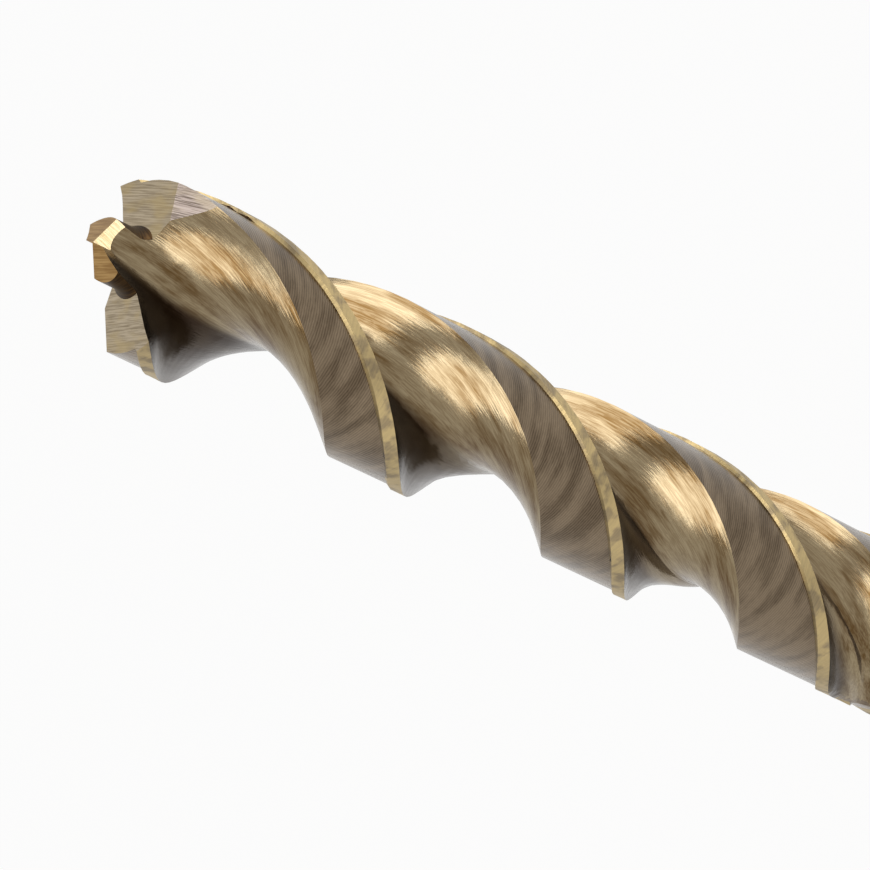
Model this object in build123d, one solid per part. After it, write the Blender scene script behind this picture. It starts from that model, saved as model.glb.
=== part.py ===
from build123d import *
from math import cos, degrees, radians, sin, tan
import os

# Twist drill bit with a pilot point: one piece of ground high-speed steel.
# The axis is Z, the flat end of the shank lies on z = 0 and the point is up.
# X runs along the outer lip of one land. Lengths are in mm, angles in degrees.
# "Front" values hold at the shoulder, "back" values where the flutes start to run out.

# ---- the bar
drill_diameter = 13.0
shank_diameter = 12.9         # a little under size, so that the chuck never holds the margins
back_taper = 0.06             # the fluted body's loss of diameter from its corners to its end
overall_length = 151.0
flute_length = 93.5           # from the tip of the pilot to the end of the run-out
shank_chamfer = 0.8

# ---- flutes
helix_pitch = 51.4            # length of one full turn, right-hand
flute_runout = 14.0           # length over which the grinding wheel leaves the steel
web_front = 1.75              # thickness of the core between the two flutes
web_back = 7.0
web_lag = 40.0                # the core is thinnest this far behind the lip
wall_radius_front = 3.75      # a point on the heel-side wall of the flute
wall_radius_back = 5.25
wall_lag_front = 20.0         # how far behind the heel that point lies
wall_lag_back = 14.0
hook_radius = 4.0             # a point on the rake face of the flute
hook_front = 0.1              # how far that point lies ahead of the lip's radial line
hook_back = -1.6
heel_lean_front = 47.0        # the flute leaves the heel at this angle to the radial line
heel_lean_back = 53.0
rake_lean = 14.0              # the rake face meets the outside at this angle to it

# ---- lands
margin_width = 1.15           # strip of full diameter behind each cutting edge
margin_height = 0.27          # how far the margin stands above the relieved land
margin_bevel = 0.5            # width of the slope between the two
relief_runout = 3.0           # length of the cone from the relieved lands to the shank
land_width_front = 4.8        # the whole land, measured round the outside
land_width_back = 9.1

# ---- shoulder: the step that carries the two outer lips
shoulder_drop = 6.1           # fall of each lip from the axis outwards
shoulder_relief = 13.4        # fall of the face behind the lip
heel_facet_start = 2.9        # the second facet starts this far behind the lip
heel_facet_drop = -8.9
heel_facet_fall = 47.4

# ---- pilot
pilot_length = 4.1            # from the shoulder's outer corners to the tip
pilot_radius = 1.9            # each land of the pilot is turned to this radius ...
pilot_offset = 0.7            # ... round a centre this far off the axis, as relief
pilot_relief_direction = 21.0
pilot_flare_radius = 1.5      # hollow curve from the pilot down to the shoulder
pilot_flare_height = 1.1      # height at which that curve starts, above the corners
pilot_lip_direction = 10.0
pilot_drop = 25.8
pilot_relief = 19.8

# ---- notches that thin the core to a short chisel edge
notch_direction = -40.0
notch_drop = 30.5
notch_fall = 50.0
notch_wall_direction = 41.6
notch_wall_offset = 0.05
notch_reach = 3.0             # the grinding wheel reaches this far from the axis

# ---- making
overcut = 2.0                 # how far a grinding wheel passes outside the steel
section_turn = 20.0           # the flute is lofted through one section per this turn

# ---- derived
radius = drill_diameter / 2
corner_height = overall_length - pilot_length
flute_end = overall_length - flute_length
runout_start = flute_end + flute_runout


def polar(r, angle):
    return Vector(r * cos(radians(angle)), r * sin(radians(angle)))


def mix(start, end, share):
    return start + (end - start) * share


def span(width):
    """Angle covered by a width measured round the outside of the drill."""
    return degrees(width / radius)


def lift_at(z):
    """How far the wheels have left the steel: 0 along the full flute, 1 at its end."""
    if z > runout_start:
        return 0.0
    return ((runout_start - z) / flute_runout) ** 2


def lifted(point, lift, clear):
    """A point of the wheel's profile, moved straight outwards as the wheel leaves."""
    return mix(point, point.normalized() * clear, lift)


def flute_curve(z):
    """Wall of a flute at height z, from the heel of one land to the lip of the next."""
    back = (corner_height - z) / (corner_height - runout_start)
    lift = lift_at(z)
    clear = radius + overcut / 2
    heel = -span(mix(land_width_front, land_width_back, back))
    wall = heel - mix(wall_lag_front, wall_lag_back, back)
    knots = [
        polar(radius - margin_height + overcut / 4, heel),
        polar(mix(wall_radius_front, wall_radius_back, back), wall),
        polar(mix(web_front, web_back, back) / 2, web_lag - 180),
        Vector(-hook_radius, mix(hook_front, hook_back, back)),
        Vector(-radius, 0) + polar(overcut / 4, 180 + rake_lean),
    ]
    knots = [lifted(knot, lift, clear) for knot in knots]
    leave = mix(polar(1, heel + 180 + mix(heel_lean_front, heel_lean_back, back)), polar(1, heel - 90), lift)
    arrive = mix(polar(1, 180 + rake_lean), polar(1, 90), lift)
    return Edge.make_spline(knots, [leave, arrive], parameters=[0.0, 0.22, 0.5, 0.82, 1.0])


def turned(outline, z):
    """An outline at height z, turned with the lands."""
    return Pos(0, 0, z) * Rot(0, 0, 360 * (z - corner_height) / helix_pitch) * outline


def wheel_section(z):
    """The flute's grinding wheel at height z, closed well outside the steel."""
    flute = flute_curve(z)
    heel = flute @ 0
    beyond = 2 * radius
    corners = [flute @ 1, polar(beyond, 180), polar(beyond, web_lag - 180)]
    corners += [heel.normalized() * beyond, heel]
    return turned(Wire([Edge.make_line(start, end) for start, end in zip(corners, corners[1:])] + [flute]), z)


def margin_section(z):
    """One margin and its bevel at height z, from inside the core to outside the drill."""
    top = polar(radius, -span(margin_width))
    foot = polar(radius - margin_height, -span(margin_width + margin_bevel))
    slope = top - foot
    ahead = polar(2 * overcut, 90)
    corners = [foot - slope, top + slope, top + slope + ahead, foot - slope + ahead]
    return turned(Wire(Polyline(*corners, close=True).edges()), z)


def lofted(section, bottom, top):
    count = round((top - bottom) / helix_pitch * 360 / section_turn)
    return Solid.make_loft([section(mix(bottom, top, step / count)) for step in range(count + 1)])


def on_both_lands(tool):
    return [tool, Rot(0, 0, 180) * tool]


def fluted_bar():
    """The shank, the relieved lands with their margins, and both flutes."""
    on_base = (Align.CENTER, Align.CENTER, Align.MIN)
    shank = Cylinder(shank_diameter / 2, flute_end, align=on_base)
    bar = chamfer(shank.edges().sort_by(Axis.Z)[0], shank_chamfer)
    core = Cylinder(radius - margin_height, flute_length, align=on_base)
    core = core + Cone(shank_diameter / 2, radius - margin_height, relief_runout, align=on_base)
    bar = bar + Pos(0, 0, flute_end) * core
    strip = lofted(margin_section, flute_end - overcut, overall_length + overcut)
    body = Pos(0, 0, flute_end) * Cone(radius - back_taper / 2, radius, flute_length, align=on_base)
    near_flute, far_flute = on_both_lands(lofted(wheel_section, flute_end, overall_length + overcut))
    bar = bar - near_flute
    bar = bar - far_flute
    for ridge in on_both_lands((body & strip) - far_flute):
        bar = bar + ridge
    return bar


def half_space(origin, normal):
    """A block that stands for everything on one side of a plane."""
    size = 2 * overall_length
    block = Box(size, size, size, align=(Align.CENTER, Align.CENTER, Align.MIN))
    return Plane(origin=origin, z_dir=normal) * block


def above_facet(height, direction, drop, fall):
    """The space above a facet that drops along a direction and falls away behind it."""
    lean = polar(1, direction) * tan(radians(drop)) + polar(1, direction - 90) * tan(radians(fall))
    return half_space((0, 0, height), Vector(0, 0, 1) + lean)


def pilot_envelope():
    """The turned pilot: one eccentric lobe for each land, flared towards the shoulder."""
    flare_top = corner_height + pilot_flare_height
    flare_turn = 50
    top = overall_length + overcut

    def flare(turn):
        out = pilot_radius + pilot_flare_radius * (1 - cos(radians(turn)))
        return Vector(out, 0, flare_top - pilot_flare_radius * sin(radians(turn)))

    foot = flare(flare_turn)
    profile = Wire([
        Edge.make_line((0, 0, foot.Z), foot),
        Edge.make_three_point_arc(foot, flare(flare_turn / 2), flare(0)),
        Edge.make_line(flare(0), (pilot_radius, 0, top)),
        Edge.make_line((pilot_radius, 0, top), (0, 0, top)),
        Edge.make_line((0, 0, top), (0, 0, foot.Z)),
    ])
    centre = polar(pilot_offset, pilot_relief_direction)
    one, other = on_both_lands(Pos(centre.X, centre.Y, 0) * revolve(Face(profile), Axis.Z))
    return one + other


def ground_shoulder(bit):
    """Both facets of both shoulders, ground round the pilot."""
    pilot = pilot_envelope()
    lip_height = corner_height + radius * tan(radians(shoulder_drop))
    steeper = tan(radians(heel_facet_fall)) - tan(radians(shoulder_relief))
    first = above_facet(lip_height, 0, shoulder_drop, shoulder_relief)
    second = above_facet(lip_height + heel_facet_start * steeper, 0, heel_facet_drop, heel_facet_fall)
    for tool in on_both_lands(first) + on_both_lands(second):
        bit = bit - (tool - pilot)
    return bit


def ground_point(bit):
    """The two flanks of the pilot's point."""
    for tool in on_both_lands(above_facet(overall_length, pilot_lip_direction, pilot_drop, pilot_relief)):
        bit = bit - tool
    return bit


def thinned_core(bit):
    """The notch behind each flank, which forms the inner lip of the other one."""
    floor = above_facet(overall_length, notch_direction, notch_drop, notch_fall)
    side = polar(1, notch_wall_direction - 90)
    wall = half_space(side * notch_wall_offset + Vector(0, 0, overall_length), side)
    reach = Pos(0, 0, overall_length) * Cylinder(notch_reach, 2 * overall_length)
    for tool in on_both_lands(reach & floor & wall):
        bit = bit - tool
    return bit


drill_bit = thinned_core(ground_point(ground_shoulder(fluted_bar())))
os.makedirs("parts", exist_ok=True)
export_step(drill_bit, "parts/drill_bit.step")
print("volume", round(drill_bit.volume, 2), "valid", drill_bit.is_valid, "faces", len(drill_bit.faces()))
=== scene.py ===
"""A ground steel twist drill that stands on its shank, with its finishes and a small studio."""
import bmesh
import bpy
from math import atan2, cos, pi, radians, sin
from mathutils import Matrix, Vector


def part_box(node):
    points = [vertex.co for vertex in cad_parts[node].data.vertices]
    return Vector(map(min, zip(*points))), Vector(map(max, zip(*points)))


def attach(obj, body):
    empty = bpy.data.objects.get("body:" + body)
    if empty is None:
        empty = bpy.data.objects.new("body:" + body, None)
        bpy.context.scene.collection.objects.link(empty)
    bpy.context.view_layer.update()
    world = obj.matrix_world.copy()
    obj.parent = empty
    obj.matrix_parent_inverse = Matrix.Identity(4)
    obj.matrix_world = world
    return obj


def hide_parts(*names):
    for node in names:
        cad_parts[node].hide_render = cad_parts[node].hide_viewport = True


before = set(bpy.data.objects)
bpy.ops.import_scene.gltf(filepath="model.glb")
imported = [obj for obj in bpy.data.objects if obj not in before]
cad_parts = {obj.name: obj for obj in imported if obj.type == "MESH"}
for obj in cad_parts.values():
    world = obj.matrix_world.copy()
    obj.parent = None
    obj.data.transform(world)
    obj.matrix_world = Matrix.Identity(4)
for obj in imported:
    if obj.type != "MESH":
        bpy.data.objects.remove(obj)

bl_info = {
    "name": "Twist drill bit",
    "version": (1, 0, 0),
    "blender": (4, 5, 0),
    "location": "View3D > Sidebar > Drill",
    "description": "Finishes a twist drill bit in ground steel and sets it in a studio",
    "category": "Add Mesh",
}

NODE = "drill_bit"
MM = 0.001

# Sizes of the drill, in mm.
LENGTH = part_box(NODE)[1].z / MM
RADIUS = 6.5
CORNER_HEIGHT = LENGTH - 4.1          # the outer corners of both lips
FLUTE_END = LENGTH - 93.5             # the flutes have run out here
HELIX_PITCH = 51.4
LAND_RADIUS = RADIUS - 0.27           # the relieved lands behind the margins
PILOT_REACH = 3.4                     # the pilot and its root are nearer to the axis than this
PILOT_AXIS = Vector((0.654, 0.251))   # centre of the arc that one land of the pilot is turned to

# The bevel behind a margin, in radians round the axis.
BEVEL_FOOT = 1.65 / RADIUS            # how far its foot trails the lip in the solid
BEVEL_TURN = 0.36 / RADIUS            # how far the foot is brought nearer, for a steeper bevel

# What tells one ground surface from another, in mm.
POINT_DEPTH = 4                       # the ground point ends this far below the outer corners
ROOT_DEPTH = 0.2                      # the turned root of the pilot ends this far below them
PILOT_TURNED = 1.8                    # the pilot's turned lands are further from their axis
SHANK_SLACK = 0.1                     # a face this near above the end of the flutes is still shank
LAND_SLACK = 0.15                     # the middle of a land's face may lie this far inside it
BEVEL_RISE = 0.05                     # a face that stands out further than this is bevel or margin
FOOT_SLACK = 0.04                     # how far from its circle a point at the bevel's foot may lie
AXIS_SLACK = 0.01                     # a face nearer to the axis than this looks neither in nor out

# The same, as cosines between a face's normal and another direction.
SAME_NORMAL = 0.999                   # at least this, and the face is one of the flat facets
STRAIGHT_OUT = 0.98                   # at least this, and it looks straight away from an axis
OUTER_FACE = 0.78                     # less than this, and it belongs to the wall of a flute

FOOT_TURN = 0.045                     # how far round from it such a point may lie, in radians
WELD = 0.0005                         # points of the solid's mesh this near become one, in mm
SMOOTH_ANGLE = 16                     # edges sharper than this stay crisp, in degrees


# ---- shader building

class Num:
    """A number in a node tree, with ordinary arithmetic."""

    def __init__(self, tree, socket):
        self.tree = tree
        self.socket = socket

    def maths(self, operation, *values):
        return self.tree.number("ShaderNodeMath", values, operation=operation)

    def __add__(self, other):
        return self.maths("ADD", self, other)

    def __radd__(self, other):
        return self.maths("ADD", other, self)

    def __sub__(self, other):
        return self.maths("SUBTRACT", self, other)

    def __rsub__(self, other):
        return self.maths("SUBTRACT", other, self)

    def __mul__(self, other):
        return self.maths("MULTIPLY", self, other)

    def __rmul__(self, other):
        return self.maths("MULTIPLY", other, self)

    def sine(self):
        return self.maths("SINE", self)

    def cosine(self):
        return self.maths("COSINE", self)

    def sign(self):
        return self.maths("SIGN", self)

    def between(self, none, full):
        """A smooth step from 0 at the first number to 1 at the second, which may be the smaller."""
        values = (self, none, full)
        return self.tree.number("ShaderNodeMapRange", values, interpolation_type="SMOOTHSTEP")


class Tree:
    """The nodes of one material or world."""

    def __init__(self, owner):
        owner.use_nodes = True
        self.nodes = owner.node_tree.nodes
        self.links = owner.node_tree.links
        self.nodes.clear()

    def feed(self, socket, value):
        if isinstance(value, Num):
            value = value.socket
        if isinstance(value, bpy.types.NodeSocket):
            self.links.new(value, socket)
        else:
            socket.default_value = value

    def node(self, kind, inputs=(), **settings):
        """Any node: its settings first, then the values or links of its sockets."""
        made = self.nodes.new(kind)
        for name, value in settings.items():
            setattr(made, name, value)
        pairs = inputs.items() if isinstance(inputs, dict) else enumerate(inputs)
        for key, value in pairs:
            self.feed(made.inputs[key], value)
        return made

    def number(self, kind, inputs, **settings):
        return Num(self, self.node(kind, inputs, **settings).outputs[0])

    def combine(self, x, y, z):
        return self.node("ShaderNodeCombineXYZ", (x, y, z)).outputs[0]

    def blend(self, factor, first, second):
        """A colour between two: the first where the factor is 0, the second where it is 1."""
        inputs = {0: factor, 6: first, 7: second}
        return self.node("ShaderNodeMix", inputs, data_type="RGBA").outputs[2]

    def mix_shader(self, factor, first, second):
        return self.node("ShaderNodeMixShader", (factor, first, second)).outputs[0]

    def noise(self, place, detail):
        inputs = {"Vector": place, "Scale": 1.0, "Detail": detail, "Roughness": 0.5}
        return self.number("ShaderNodeTexNoise", inputs)


class SteelTree(Tree):
    """Nodes that know their place on the drill, in mm."""

    def __init__(self, owner):
        super().__init__(owner)
        place = self.node("ShaderNodeTexCoord").outputs["Object"]
        split = self.node("ShaderNodeSeparateXYZ", (place,)).outputs
        self.x, self.y, self.z = [Num(self, socket) * (1 / MM) for socket in split]
        turn = (self.z - CORNER_HEIGHT) * (2 * pi / HELIX_PITCH)
        cosine = turn.cosine()
        sine = turn.sine()
        self.lip = self.x * cosine + self.y * sine
        self.side = self.y * cosine - self.x * sine

    def helix_streaks(self, fine, long, detail):
        """Streaks that run along the flutes: fine across them and long along them, in mm."""
        place = self.combine(self.lip * (1 / fine), self.side * (1 / fine), self.z * (1 / long))
        return self.noise(place, detail)

    def ring_streaks(self, fine, long, detail):
        """Streaks that run round the drill: fine along it and long round it, in mm."""
        place = self.combine(self.x * (1 / long), self.y * (1 / long), self.z * (1 / fine))
        return self.noise(place, detail)

    def flat_streaks(self, heading, fine, long, detail):
        """Straight streaks across a ground facet, along a heading in degrees."""
        ahead = cos(radians(heading))
        aside = sin(radians(heading))
        across = self.y * ahead - self.x * aside
        along = self.x * ahead + self.y * aside
        place = self.combine(across * (1 / fine), along * (1 / long), self.z * (1 / long))
        return self.noise(place, detail)

    def steel(self, colour, roughness, height, depth, drawn=0.0, turn=0.0):
        """Bare steel with scratches this deep in mm, drawn out by the wheel from 0 to 1."""
        bump = {"Strength": 1.0, "Distance": depth * MM, "Height": height}
        inputs = {
            "Base Color": colour,
            "Metallic": 1.0,
            "Roughness": roughness,
            "Normal": self.node("ShaderNodeBump", bump).outputs[0],
            "Anisotropic": drawn,
            "Anisotropic Rotation": turn,
        }
        shader = self.node("ShaderNodeBsdfPrincipled", inputs)
        self.node("ShaderNodeOutputMaterial", (shader.outputs[0],))


# ---- finishes

class DrillFinish(bpy.types.PropertyGroup):
    """Colours and roughness of the steel."""

    bronze: bpy.props.FloatVectorProperty(
        name="Bronze", description="Flutes, bright steel",
        subtype="COLOR", size=4, default=(0.285, 0.225, 0.137, 1))
    brown: bpy.props.FloatVectorProperty(
        name="Brown", description="Oxide in the flutes, and streaks on the root of the pilot",
        subtype="COLOR", size=4, default=(0.105, 0.06, 0.021, 1))
    plum: bpy.props.FloatVectorProperty(
        name="Plum", description="Lands and shank, and lines across the heel facets",
        subtype="COLOR", size=4, default=(0.046, 0.029, 0.015, 1))
    ash: bpy.props.FloatVectorProperty(
        name="Ash", description="Light streaks on the lands and the shank",
        subtype="COLOR", size=4, default=(0.27, 0.205, 0.137, 1))
    silver: bpy.props.FloatVectorProperty(
        name="Silver", description="Lip facets, and patches on the heel facets",
        subtype="COLOR", size=4, default=(0.44, 0.365, 0.26, 1))
    rose: bpy.props.FloatVectorProperty(
        name="Rose", description="Heel facets, between their lines",
        subtype="COLOR", size=4, default=(0.42, 0.35, 0.31, 1))
    umber: bpy.props.FloatVectorProperty(
        name="Umber", description="Lines across the lip facets, and patches on the margins",
        subtype="COLOR", size=4, default=(0.2, 0.155, 0.095, 1))
    # Painted shade: this near-black is laid in the flutes behind the lips and on the root of the
    # pilot to stand in for shade there.
    painted_shade: bpy.props.FloatVectorProperty(
        name="Burnt", description="Darkest oxide, behind the lips and on the root of the pilot",
        subtype="COLOR", size=4, default=(0.024, 0.012, 0.005, 1))
    gold: bpy.props.FloatVectorProperty(
        name="Gold", description="Margins, heat tint of the lip facets, and lines in the notches",
        subtype="COLOR", size=4, default=(0.42, 0.32, 0.155, 1))
    cream: bpy.props.FloatVectorProperty(
        name="Cream", description="Freshly ground notches",
        subtype="COLOR", size=4, default=(0.62, 0.5, 0.31, 1))
    amber: bpy.props.FloatVectorProperty(
        name="Amber", description="Flanks of the pilot",
        subtype="COLOR", size=4, default=(0.4, 0.25, 0.1, 1))
    rust: bpy.props.FloatVectorProperty(
        name="Rust", description="Lines and heat tint on the flanks of the pilot",
        subtype="COLOR", size=4, default=(0.22, 0.12, 0.04, 1))
    gloss: bpy.props.FloatProperty(
        name="Roughness", description="Middle roughness of the flutes", default=0.18, min=0, max=1)


def painted_shade_behind_lips(t):
    """1 on the painted shade that trails each lip down its flute, and 0 away from it."""
    twin = t.lip.sign()
    lip = t.lip * twin
    side = t.side * twin
    across = side.between(2.1, 0.5) * side.between(-2.2, -1.4)
    return across * lip.between(0.9, 1.8) * lip.between(7.6, 6.0)


def flute_finish(material, finish):
    """Drawn streaks of bright and oxidised steel along the flute, with painted shade, darkest
    behind the lips.
    """
    t = SteelTree(material)
    hairs = t.helix_streaks(0.09, 1.6, 2.0)
    bands = t.helix_streaks(0.45, 9.0, 3.0)
    stain = t.helix_streaks(1.6, 7.0, 3.0)
    grain = t.helix_streaks(0.10, 0.25, 1.0)
    streaks = hairs.between(0.42, 0.58) * 0.30 + bands.between(0.38, 0.62) * 0.20
    worn = streaks + stain.between(0.42, 0.62) * 0.55
    colour = t.blend(worn, finish.bronze, finish.brown)
    # Painted shade: the flute turns near-black behind each lip, a little streaked.
    colour = t.blend(painted_shade_behind_lips(t) * (stain * 0.3 + 0.80), colour, finish.painted_shade)
    roughness = bands * 0.14 + (finish.gloss - 0.07)
    t.steel(colour, roughness, hairs * 1.5 + bands + grain * 0.5, 0.008, drawn=0.4)


def land_finish(material, finish):
    """Fine rings, 0.24 mm apart and wandering a little, over broad marks and a grain."""
    t = SteelTree(material)
    drift = t.ring_streaks(1.0, 1.6, 2.0)
    broad = t.ring_streaks(1.3, 4.0, 3.0)
    grain = t.ring_streaks(0.10, 0.3, 1.0)
    rings = (t.z * (2 * pi / 0.24) + drift * 6.0).sine() * 0.5 + 0.5
    pale = broad.between(0.35, 0.65) * 0.35 + rings * 0.30 + grain * 0.3
    colour = t.blend(pale, finish.plum, finish.ash)
    t.steel(colour, broad * 0.10 + 0.14, rings + grain * 0.6, 0.007, drawn=0.6, turn=0.25)


def margin_finish(material, finish):
    """A bright narrow strip with worn patches."""
    t = SteelTree(material)
    rings = t.ring_streaks(0.13, 2.0, 2.0)
    patches = t.ring_streaks(1.5, 1.5, 3.0)
    worn = patches.between(0.45, 0.62) * 0.7 + rings.between(0.4, 0.6) * 0.2
    colour = t.blend(worn, finish.gold, finish.umber)
    t.steel(colour, patches * 0.2 + 0.30, rings + patches * 6, 0.010, drawn=0.7, turn=0.25)


def shank_finish(material, finish):
    """Long dull rings, as a cylindrical grinder leaves them."""
    t = SteelTree(material)
    rings = t.ring_streaks(0.10, 6.0, 3.0)
    broad = t.ring_streaks(1.8, 6.0, 3.0)
    pale = rings.between(0.3, 0.7) * 0.4 + broad.between(0.35, 0.65) * 0.3
    colour = t.blend(pale, finish.plum, finish.ash)
    t.steel(colour, rings * 0.14 + 0.30, rings, 0.010, drawn=0.7, turn=0.25)


def root_finish(material, finish):
    """Painted shade: near-black steel with faint rings where the pilot stands on the point."""
    t = SteelTree(material)
    rings = t.ring_streaks(0.12, 1.5, 2.0)
    colour = t.blend(rings.between(0.35, 0.65) * 0.4, finish.painted_shade, finish.brown)
    t.steel(colour, rings * 0.2 + 0.30, rings, 0.010)


def facet_finish(material, finish, light, dark, tint, heading):
    """A flat face with the fine straight lines of the wheel and patches of heat tint."""
    t = SteelTree(material)
    lines = t.flat_streaks(heading, 0.065, 1.8, 2.0)
    bars = t.flat_streaks(heading, 0.5, 5.0, 2.0)
    stain = t.flat_streaks(heading, 1.3, 2.2, 3.0)
    marks = lines.between(0.40, 0.60) * 0.65 + bars.between(0.4, 0.65) * 0.15
    ground = t.blend(marks, getattr(finish, light), getattr(finish, dark))
    colour = t.blend(stain.between(0.45, 0.68) * 0.55, ground, getattr(finish, tint))
    t.steel(colour, bars * 0.2 + 0.26, lines, 0.012)


# What makes each finish. A facet's colours are its light, its dark and its tint, and its lines run
# along a heading in degrees. The material slots are in this order.
FINISHES = {
    "flute": (flute_finish,),
    "land": (land_finish,),
    "margin": (margin_finish,),
    "shank": (shank_finish,),
    "shoulder": (facet_finish, "silver", "umber", "gold", 60),
    "second_shoulder": (facet_finish, "rose", "plum", "silver", 60),
    "flank": (facet_finish, "amber", "rust", "rust", 60),
    "root": (root_finish,),
    "notch": (facet_finish, "cream", "gold", "cream", 20),
}


# ---- the drill

def facet_normal(fall_x, fall_y):
    """The normal of a flat face that falls this much for each mm along x and along y."""
    return Vector((fall_x, fall_y, 1)).normalized()


FACETS = {
    "shoulder": facet_normal(0.107, -0.238),
    "second_shoulder": facet_normal(-0.156, -1.089),
    "flank": facet_normal(0.539, -0.271),
    "notch": facet_normal(-0.315, -1.291),
}


def lies_on(face, normal):
    """Whether a face has this normal, or that of its twin on the other land."""
    twin = Vector((-normal.x, -normal.y, normal.z))
    return max(face.normal.dot(normal), face.normal.dot(twin)) > SAME_NORMAL


def turned_surface(face, centre):
    """Whether a face looks straight away from the axis of one of the pilot's turned lands."""
    outward = face.normal.xy
    for axis in (PILOT_AXIS, -PILOT_AXIS):
        arm = centre.xy - axis
        looks_out = outward.dot(arm) > STRAIGHT_OUT * outward.length * arm.length
        if looks_out and arm.length > PILOT_TURNED:
            return True
    return False


def finish_of(face):
    """The finish that the grinding left on one face of the steel."""
    centre = face.calc_center_median() / MM
    reach = centre.xy.length
    radial = face.normal.xy.dot(centre.xy.normalized()) if reach > AXIS_SLACK else 0
    if centre.z > CORNER_HEIGHT - POINT_DEPTH:
        for name, normal in FACETS.items():
            if lies_on(face, normal):
                return name
        in_pilot = reach < PILOT_REACH and centre.z > CORNER_HEIGHT - ROOT_DEPTH
        if in_pilot and turned_surface(face, centre):
            return "root"
    if centre.z < FLUTE_END + SHANK_SLACK:
        return "shank"
    if radial > OUTER_FACE and reach > LAND_RADIUS - LAND_SLACK:
        return "margin" if reach > LAND_RADIUS + BEVEL_RISE else "land"
    return "flute"


def at_bevel_foot(place):
    """Whether a point lies on the helix where a margin's bevel meets the relieved land."""
    if abs(place.xy.length - LAND_RADIUS) > FOOT_SLACK:
        return False
    lip = 2 * pi * (place.z - CORNER_HEIGHT) / HELIX_PITCH
    return abs(sin(atan2(place.y, place.x) - lip + BEVEL_FOOT)) < FOOT_TURN


def copy_of_solid(context):
    """A new object with the solid's own mesh and no material."""
    bpy.ops.object.select_all(action="DESELECT")
    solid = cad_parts[NODE]
    solid.select_set(True)
    context.view_layer.objects.active = solid
    bpy.ops.object.duplicate()
    copy = context.active_object
    copy.data.materials.clear()
    return copy


class OBJECT_OT_ground_steel(bpy.types.Operator):
    """Make the drill as one smooth piece of steel with a finish on every ground surface"""

    bl_idname = "object.ground_steel"
    bl_label = "Ground steel"

    def execute(self, context):
        drill = copy_of_solid(context)
        drill.name = "ground_drill"
        for name, (make, *colours) in FINISHES.items():
            material = bpy.data.materials.new(name + "_steel")
            make(material, context.scene.drill_finish, *colours)
            drill.data.materials.append(material)
        bpy.ops.object.mode_set(mode="EDIT")
        bpy.ops.mesh.select_all(action="SELECT")
        bpy.ops.mesh.remove_doubles(threshold=WELD * MM)
        bpy.ops.mesh.select_all(action="DESELECT")
        steel = bmesh.from_edit_mesh(drill.data)
        slots = list(FINISHES)
        for face in steel.faces:
            face.material_index = slots.index(finish_of(face))
        for point in steel.verts:
            point.select = at_bevel_foot(point.co / MM)
        bmesh.update_edit_mesh(drill.data)
        # With no window this turns the other way, so a minus brings the foot nearer to the lip.
        bpy.ops.transform.rotate(value=-BEVEL_TURN, orient_axis="Z", center_override=(0, 0, 0))
        bpy.ops.object.mode_set(mode="OBJECT")
        bpy.ops.mesh.customdata_custom_splitnormals_clear()
        bpy.ops.object.shade_smooth_by_angle(angle=radians(SMOOTH_ANGLE))
        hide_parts(NODE)
        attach(drill, "root")
        return {"FINISHED"}


# ---- the studio

# Name, azimuth and elevation in degrees, width and height in metres, and brightness: 1 is white.
LAMPS = (
    ("left_softbox", 184, -3, 0.66, 0.50, 3.3),
    ("right_softbox", 289, 4, 0.98, 0.44, 3.4),
)
LAMP_DISTANCE = 0.6                   # metres from the place that the lamps face
LAMP_AIM = Vector((0, 0, 0.115))      # that place, in the upper part of the drill

WHITE = (1, 1, 1, 1)
PAPER = (0.55, 0.54, 0.52, 1)         # the floor as the lamps light it
LOW_GLOW = (1, 0.72, 0.48, 1)         # the fill from below
HIGH_GLOW = (1, 0.98, 0.95, 1)        # the fill from overhead
CEILING_EDGE = (0.3, 0.6)             # the fill turns from low to high between these heights
SHADOW_SHARE = 0.05                   # how much of its lit self the floor shows
BACKGROUND_RAYS = ("Is Camera Ray", "Is Glossy Ray", "Is Transmission Ray")


class StudioSetup(bpy.types.PropertyGroup):
    """Camera, floor and fill light."""

    lens: bpy.props.FloatProperty(
        name="Focal length", description="Lens of the camera", unit="CAMERA", default=211.3)
    place: bpy.props.FloatVectorProperty(
        name="Camera place", description="Where the camera stands",
        unit="LENGTH", default=(-0.19716, -0.17419, 0.37088))
    turn: bpy.props.FloatVectorProperty(
        name="Camera turn", description="Rotation of the camera",
        subtype="EULER", default=(radians(24.153), radians(40.079), radians(-103.343)))
    floor_size: bpy.props.FloatProperty(
        name="Floor size", description="Side of the square floor", unit="LENGTH", default=4.0)
    fill: bpy.props.FloatProperty(
        name="Fill", description="Plain light from all round, on all but metal and glass",
        default=0.045)
    ceiling: bpy.props.FloatProperty(
        name="Ceiling", description="The same from overhead, added to the fill", default=0.60)


def softbox(context, name, azimuth, elevation, width, height, brightness):
    """A soft white lamp that faces the upper part of the drill."""
    azimuth = radians(azimuth)
    elevation = radians(elevation)
    level = cos(elevation)
    out = Vector((cos(azimuth) * level, sin(azimuth) * level, sin(elevation)))
    bpy.ops.object.light_add(type="AREA", location=LAMP_AIM + out * LAMP_DISTANCE)
    lamp = context.active_object
    lamp.name = name
    lamp.rotation_euler = out.to_track_quat("Z", "Y").to_euler()
    lamp.data.shape = "RECTANGLE"
    lamp.data.size = width
    lamp.data.size_y = height
    lamp.data.energy = brightness * width * height * pi


def background_rays(tree):
    """1 for the rays that meet the background: the camera's, and what metal or glass sends on."""
    path = tree.node("ShaderNodeLightPath").outputs
    camera, glossy, through = [Num(tree, path[name]) for name in BACKGROUND_RAYS]
    return camera + glossy + through


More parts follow.
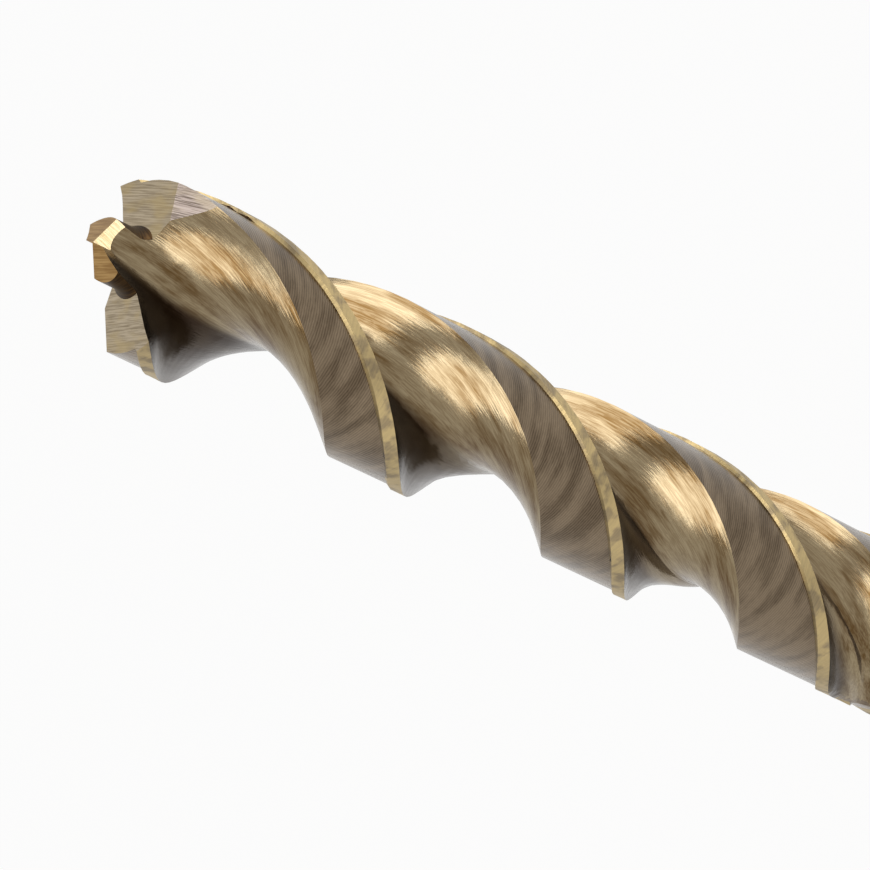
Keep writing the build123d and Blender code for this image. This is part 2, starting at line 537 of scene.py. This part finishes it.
def floor_paper(material):
    """White paper for those rays, with a share of its lit self that keeps the drill's shadow."""
    t = Tree(material)
    lit = t.node("ShaderNodeBsdfDiffuse", (PAPER,)).outputs[0]
    white = t.node("ShaderNodeEmission", (WHITE, 1.0)).outputs[0]
    shown = t.mix_shader(SHADOW_SHARE, white, lit)
    t.node("ShaderNodeOutputMaterial", (t.mix_shader(background_rays(t), lit, shown),))


def surround(world, setup):
    """White all round for those rays, and a soft fill for the others, stronger from overhead."""
    t = Tree(world)
    way = t.node("ShaderNodeTexCoord").outputs["Generated"]
    rise = Num(t, t.node("ShaderNodeSeparateXYZ", (way,)).outputs[2])
    overhead = rise.between(*CEILING_EDGE)
    glow = t.blend(overhead, LOW_GLOW, HIGH_GLOW)
    fill = t.node("ShaderNodeBackground", (glow, overhead * setup.ceiling + setup.fill)).outputs[0]
    white = t.node("ShaderNodeBackground", (WHITE, 1.0)).outputs[0]
    t.node("ShaderNodeOutputWorld", (t.mix_shader(background_rays(t), fill, white),))


class SCENE_OT_drill_studio(bpy.types.Operator):
    """Set the camera, the soft lamps, the pale floor and the surrounding light"""

    bl_idname = "scene.drill_studio"
    bl_label = "Studio"

    def execute(self, context):
        setup = context.scene.drill_studio
        bpy.ops.object.camera_add(location=setup.place, rotation=setup.turn)
        camera = context.active_object
        camera.data.lens = setup.lens
        context.scene.camera = camera
        bpy.ops.mesh.primitive_plane_add(size=setup.floor_size, location=(0, 0, 0))
        floor = context.active_object
        floor.name = "pale_floor"
        paper = bpy.data.materials.new("paper")
        floor_paper(paper)
        floor.data.materials.append(paper)
        for lamp in LAMPS:
            softbox(context, *lamp)
        context.scene.world = bpy.data.worlds.new("surround")
        surround(context.scene.world, setup)
        context.scene.view_settings.view_transform = "Standard"
        return {"FINISHED"}


class VIEW3D_PT_drill(bpy.types.Panel):
    """Lists the makers and their sizes and colours"""

    bl_label = "Twist drill"
    bl_idname = "VIEW3D_PT_drill"
    bl_space_type = "VIEW_3D"
    bl_region_type = "UI"
    bl_category = "Drill"

    def draw(self, context):
        layout = self.layout
        for group in (context.scene.drill_finish, context.scene.drill_studio):
            for name in type(group).__annotations__:
                layout.prop(group, name)
        layout.operator("object.ground_steel")
        layout.operator("scene.drill_studio")


CLASSES = (DrillFinish, StudioSetup, OBJECT_OT_ground_steel, SCENE_OT_drill_studio, VIEW3D_PT_drill)


def register():
    for made in CLASSES:
        bpy.utils.register_class(made)
    bpy.types.Scene.drill_finish = bpy.props.PointerProperty(type=DrillFinish)
    bpy.types.Scene.drill_studio = bpy.props.PointerProperty(type=StudioSetup)


def unregister():
    del bpy.types.Scene.drill_studio
    del bpy.types.Scene.drill_finish
    for made in reversed(CLASSES):
        bpy.utils.unregister_class(made)


def main():
    register()
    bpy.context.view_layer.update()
    bpy.ops.object.ground_steel()
    bpy.ops.scene.drill_studio()


if __name__ == "__main__":
    main()
